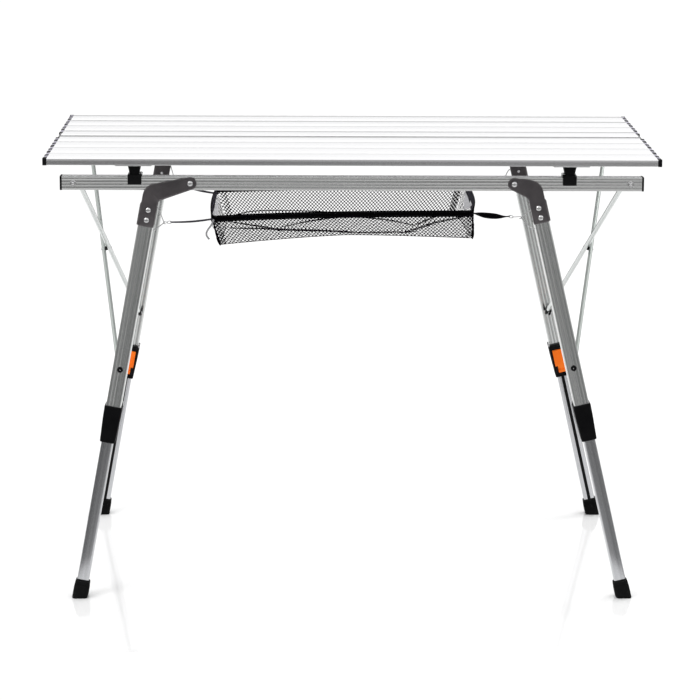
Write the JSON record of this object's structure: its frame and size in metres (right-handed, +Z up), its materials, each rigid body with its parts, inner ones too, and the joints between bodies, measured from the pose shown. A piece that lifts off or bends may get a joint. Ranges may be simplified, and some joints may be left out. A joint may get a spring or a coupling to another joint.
{
  "type": "folding camp kitchen table",
  "caption": "Folding camp table with a roll-up slatted top, splayed telescoping legs with lever clamps, crossed end bars and a hanging mesh basket.",
  "frame": {"origin": "centre of the footprint, on the floor", "axes": "+X along the table to the user's right, +Y from front to back, +Z up"},
  "size_m": [0.9, 0.4574, 0.67],
  "materials": {
    "top_aluminium": "satin anodised",
    "frame_aluminium": "satin anodised",
    "bracket_metal": "dark metallic paint",
    "black_plastic": "moulded",
    "orange_plastic": "moulded gloss",
    "foot_rubber": "matt",
    "basket_fabric": "open mesh with webbing"
  },
  "bodies": {
    "front_rail": {"rail_front": "frame_aluminium", "rail_cap_fl": "black_plastic", "rail_cap_fr": "black_plastic", "clip_block_fl": "black_plastic", "clip_block_fr": "black_plastic"},
    "rear_rail": {"rail_rear": "frame_aluminium", "rail_cap_rl": "black_plastic", "rail_cap_rr": "black_plastic", "clip_block_rl": "black_plastic", "clip_block_rr": "black_plastic"},
    "leg_fl": {"bracket_fl": "bracket_metal", "leg_upper_fl": "frame_aluminium", "collar_fl": "black_plastic"},
    "lower_fl": {"leg_lower_fl": "frame_aluminium", "foot_fl": "foot_rubber"},
    "lever_body_fl": {"lever_fl": "orange_plastic"},
    "knuckle_body_fl": {"knuckle_fl": "black_plastic"},
    "bar_body_fl": {"bar_fl": "frame_aluminium"},
    "leg_fr": {"bracket_fr": "bracket_metal", "leg_upper_fr": "frame_aluminium", "collar_fr": "black_plastic"},
    "lower_fr": {"leg_lower_fr": "frame_aluminium", "foot_fr": "foot_rubber"},
    "lever_body_fr": {"lever_fr": "orange_plastic"},
    "knuckle_body_fr": {"knuckle_fr": "black_plastic"},
    "bar_body_fr": {"bar_fr": "frame_aluminium"},
    "leg_rl": {"bracket_rl": "bracket_metal", "leg_upper_rl": "frame_aluminium", "collar_rl": "black_plastic"},
    "lower_rl": {"leg_lower_rl": "frame_aluminium", "foot_rl": "foot_rubber"},
    "lever_body_rl": {"lever_rl": "orange_plastic"},
    "knuckle_body_rl": {"knuckle_rl": "black_plastic"},
    "bar_body_rl": {"bar_rl": "frame_aluminium"},
    "leg_rr": {"bracket_rr": "bracket_metal", "leg_upper_rr": "frame_aluminium", "collar_rr": "black_plastic"},
    "lower_rr": {"leg_lower_rr": "frame_aluminium", "foot_rr": "foot_rubber"},
    "lever_body_rr": {"lever_rr": "orange_plastic"},
    "knuckle_body_rr": {"knuckle_rr": "black_plastic"},
    "bar_body_rr": {"bar_rr": "frame_aluminium"},
    "basket_body": {"basket": "basket_fabric", "strap_fl": "basket_fabric", "strap_fr": "basket_fabric", "strap_rl": "basket_fabric", "strap_rr": "basket_fabric"},
    "slat_body_1": {"slat_1": "top_aluminium", "keeper_fl": "black_plastic", "keeper_fr": "black_plastic"},
    "slat_body_2": {"slat_2": "top_aluminium"},
    "slat_body_3": {"slat_3": "top_aluminium"},
    "slat_body_4": {"slat_4": "top_aluminium"},
    "slat_body_5": {"slat_5": "top_aluminium"},
    "slat_body_6": {"slat_6": "top_aluminium"},
    "slat_body_7": {"slat_7": "top_aluminium"},
    "slat_body_8": {"slat_8": "top_aluminium", "keeper_rl": "black_plastic", "keeper_rr": "black_plastic"}
  },
  "joints": [
    {"name": "frame_fold", "type": "slide", "parent": "front_rail", "child": "rear_rail", "axis": [0, -1, 0], "range_m": [0, 0.095], "deforming": ["strap_fl", "strap_fr", "strap_rl", "strap_rr"]},
    {"name": "leg_swing_fl", "type": "hinge", "parent": "front_rail", "child": "leg_fl", "pos_m": [-0.2378, -0.187, 0.629], "axis": [0, -0.9989, 0.0468], "range_deg": [0, 32.61]},
    {"name": "leg_slide_fl", "type": "slide", "parent": "leg_fl", "child": "lower_fl", "axis": [0.1822, 0.046, 0.9822], "range_m": [0, 0.205]},
    {"name": "lever_turn_fl", "type": "hinge", "parent": "leg_fl", "child": "lever_body_fl", "pos_m": [-0.3558, -0.18259, 0.28477], "axis": [0.9833, -0.0085, -0.182], "range_deg": [0, 95]},
    {"name": "knuckle_turn_fl", "type": "hinge", "parent": "front_rail", "child": "knuckle_body_fl", "pos_m": [-0.4088, -0.187, 0.629], "axis": [0, 0.9989, -0.0468], "range_deg": [-25.74, 0]},
    {"name": "bar_swing_fl", "type": "hinge", "parent": "knuckle_body_fl", "child": "bar_body_fl", "pos_m": [-0.4088, -0.16802, 0.62811], "axis": [-0.9704, -0.0113, -0.2414], "range_deg": [0, 16.87]},
    {"name": "leg_swing_fr", "type": "hinge", "parent": "front_rail", "child": "leg_fr", "pos_m": [0.2378, -0.187, 0.629], "axis": [0, 0.9989, -0.0468], "range_deg": [0, 33.48]},
    {"name": "leg_slide_fr", "type": "slide", "parent": "leg_fr", "child": "lower_fr", "axis": [-0.2301, 0.0455, 0.9721], "range_m": [0, 0.205]},
    {"name": "lever_turn_fr", "type": "hinge", "parent": "leg_fr", "child": "lever_body_fr", "pos_m": [0.34605, -0.18243, 0.28829], "axis": [0.9732, 0.0108, 0.2298], "range_deg": [0, 95]},
    {"name": "knuckle_turn_fr", "type": "hinge", "parent": "front_rail", "child": "knuckle_body_fr", "pos_m": [0.4088, -0.187, 0.629], "axis": [0, 0.9989, -0.0468], "range_deg": [0, 25.61]},
    {"name": "bar_swing_fr", "type": "hinge", "parent": "knuckle_body_fr", "child": "bar_body_fr", "pos_m": [0.4088, -0.16802, 0.62811], "axis": [0.9571, -0.0135, -0.2895], "range_deg": [-16.97, 0]},
    {"name": "leg_swing_rl", "type": "hinge", "parent": "rear_rail", "child": "leg_rl", "pos_m": [-0.2378, 0.187, 0.629], "axis": [0, -0.9989, -0.0468], "range_deg": [0, 32.61]},
    {"name": "leg_slide_rl", "type": "slide", "parent": "leg_rl", "child": "lower_rl", "axis": [0.1822, -0.046, 0.9822], "range_m": [0, 0.205]},
    {"name": "lever_turn_rl", "type": "hinge", "parent": "leg_rl", "child": "lever_body_rl", "pos_m": [-0.3558, 0.18259, 0.28477], "axis": [-0.9833, -0.0085, 0.182], "range_deg": [0, 95]},
    {"name": "knuckle_turn_rl", "type": "hinge", "parent": "rear_rail", "child": "knuckle_body_rl", "pos_m": [-0.4088, 0.187, 0.629], "axis": [0, -0.9989, -0.0468], "range_deg": [0, 25.74]},
    {"name": "bar_swing_rl", "type": "hinge", "parent": "knuckle_body_rl", "child": "bar_body_rl", "pos_m": [-0.4088, 0.16802, 0.62811], "axis": [-0.9704, 0.0113, -0.2414], "range_deg": [-16.87, 0]},
    {"name": "leg_swing_rr", "type": "hinge", "parent": "rear_rail", "child": "leg_rr", "pos_m": [0.2378, 0.187, 0.629], "axis": [0, 0.9989, 0.0468], "range_deg": [0, 33.48]},
    {"name": "leg_slide_rr", "type": "slide", "parent": "leg_rr", "child": "lower_rr", "axis": [-0.2301, -0.0455, 0.9721], "range_m": [0, 0.205]},
    {"name": "lever_turn_rr", "type": "hinge", "parent": "leg_rr", "child": "lever_body_rr", "pos_m": [0.34605, 0.18243, 0.28829], "axis": [-0.9732, 0.0108, -0.2298], "range_deg": [0, 95]},
    {"name": "knuckle_turn_rr", "type": "hinge", "parent": "rear_rail", "child": "knuckle_body_rr", "pos_m": [0.4088, 0.187, 0.629], "axis": [0, -0.9989, -0.0468], "range_deg": [-25.61, 0]},
    {"name": "bar_swing_rr", "type": "hinge", "parent": "knuckle_body_rr", "child": "bar_body_rr", "pos_m": [0.4088, 0.16802, 0.62811], "axis": [0.9571, 0.0135, -0.2895], "range_deg": [0, 16.97]},
    {"name": "basket_shift", "type": "slide", "parent": "front_rail", "child": "basket_body", "axis": [0, -1, 0], "range_m": [0, 0.0475]},
    {"name": "top_lift", "type": "slide", "parent": "front_rail", "child": "slat_body_1", "axis": [0, 0, 1], "range_m": [0, 0.1]},
    {"name": "top_roll", "type": "hinge", "parent": "slat_body_1", "child": "slat_body_2", "pos_m": [0, -0.16875, 0.67], "axis": [1, 0, 0], "range_deg": [0, 40]},
    {"name": "slat_turn_3", "type": "hinge", "parent": "slat_body_2", "child": "slat_body_3", "pos_m": [0, -0.1125, 0.67], "axis": [1, 0, 0], "range_deg": [0, 40]},
    {"name": "slat_turn_4", "type": "hinge", "parent": "slat_body_3", "child": "slat_body_4", "pos_m": [0, -0.05625, 0.67], "axis": [1, 0, 0], "range_deg": [0, 40]},
    {"name": "slat_turn_5", "type": "hinge", "parent": "slat_body_4", "child": "slat_body_5", "pos_m": [0, 0, 0.67], "axis": [1, 0, 0], "range_deg": [0, 40]},
    {"name": "slat_turn_6", "type": "hinge", "parent": "slat_body_5", "child": "slat_body_6", "pos_m": [0, 0.05625, 0.67], "axis": [1, 0, 0], "range_deg": [0, 40]},
    {"name": "slat_turn_7", "type": "hinge", "parent": "slat_body_6", "child": "slat_body_7", "pos_m": [0, 0.1125, 0.67], "axis": [1, 0, 0], "range_deg": [0, 40]},
    {"name": "slat_turn_8", "type": "hinge", "parent": "slat_body_7", "child": "slat_body_8", "pos_m": [0, 0.16875, 0.67], "axis": [1, 0, 0], "range_deg": [0, 40]}
  ],
  "couplings": [
    {"joint": "leg_swing_fl", "follows": "frame_fold", "rad_per_m": 5.9894},
    {"joint": "knuckle_turn_fl", "follows": "frame_fold", "rad_per_m": -4.7273},
    {"joint": "bar_swing_fl", "follows": "frame_fold", "rad_per_m": 3.0968},
    {"joint": "leg_swing_fr", "follows": "frame_fold", "rad_per_m": 6.1493},
    {"joint": "knuckle_turn_fr", "follows": "frame_fold", "rad_per_m": 4.7034},
    {"joint": "bar_swing_fr", "follows": "frame_fold", "rad_per_m": -3.1157},
    {"joint": "leg_swing_rl", "follows": "frame_fold", "rad_per_m": 5.9894},
    {"joint": "knuckle_turn_rl", "follows": "frame_fold", "rad_per_m": 4.7273},
    {"joint": "bar_swing_rl", "follows": "frame_fold", "rad_per_m": -3.0968},
    {"joint": "leg_swing_rr", "follows": "frame_fold", "rad_per_m": 6.1493},
    {"joint": "knuckle_turn_rr", "follows": "frame_fold", "rad_per_m": -4.7034},
    {"joint": "bar_swing_rr", "follows": "frame_fold", "rad_per_m": 3.1157},
    {"joint": "basket_shift", "follows": "frame_fold", "ratio": 0.5},
    {"joint": "slat_turn_3", "follows": "top_roll", "ratio": 1},
    {"joint": "slat_turn_4", "follows": "top_roll", "ratio": 1},
    {"joint": "slat_turn_5", "follows": "top_roll", "ratio": 1},
    {"joint": "slat_turn_6", "follows": "top_roll", "ratio": 1},
    {"joint": "slat_turn_7", "follows": "top_roll", "ratio": 1},
    {"joint": "slat_turn_8", "follows": "top_roll", "ratio": 1}
  ]
}
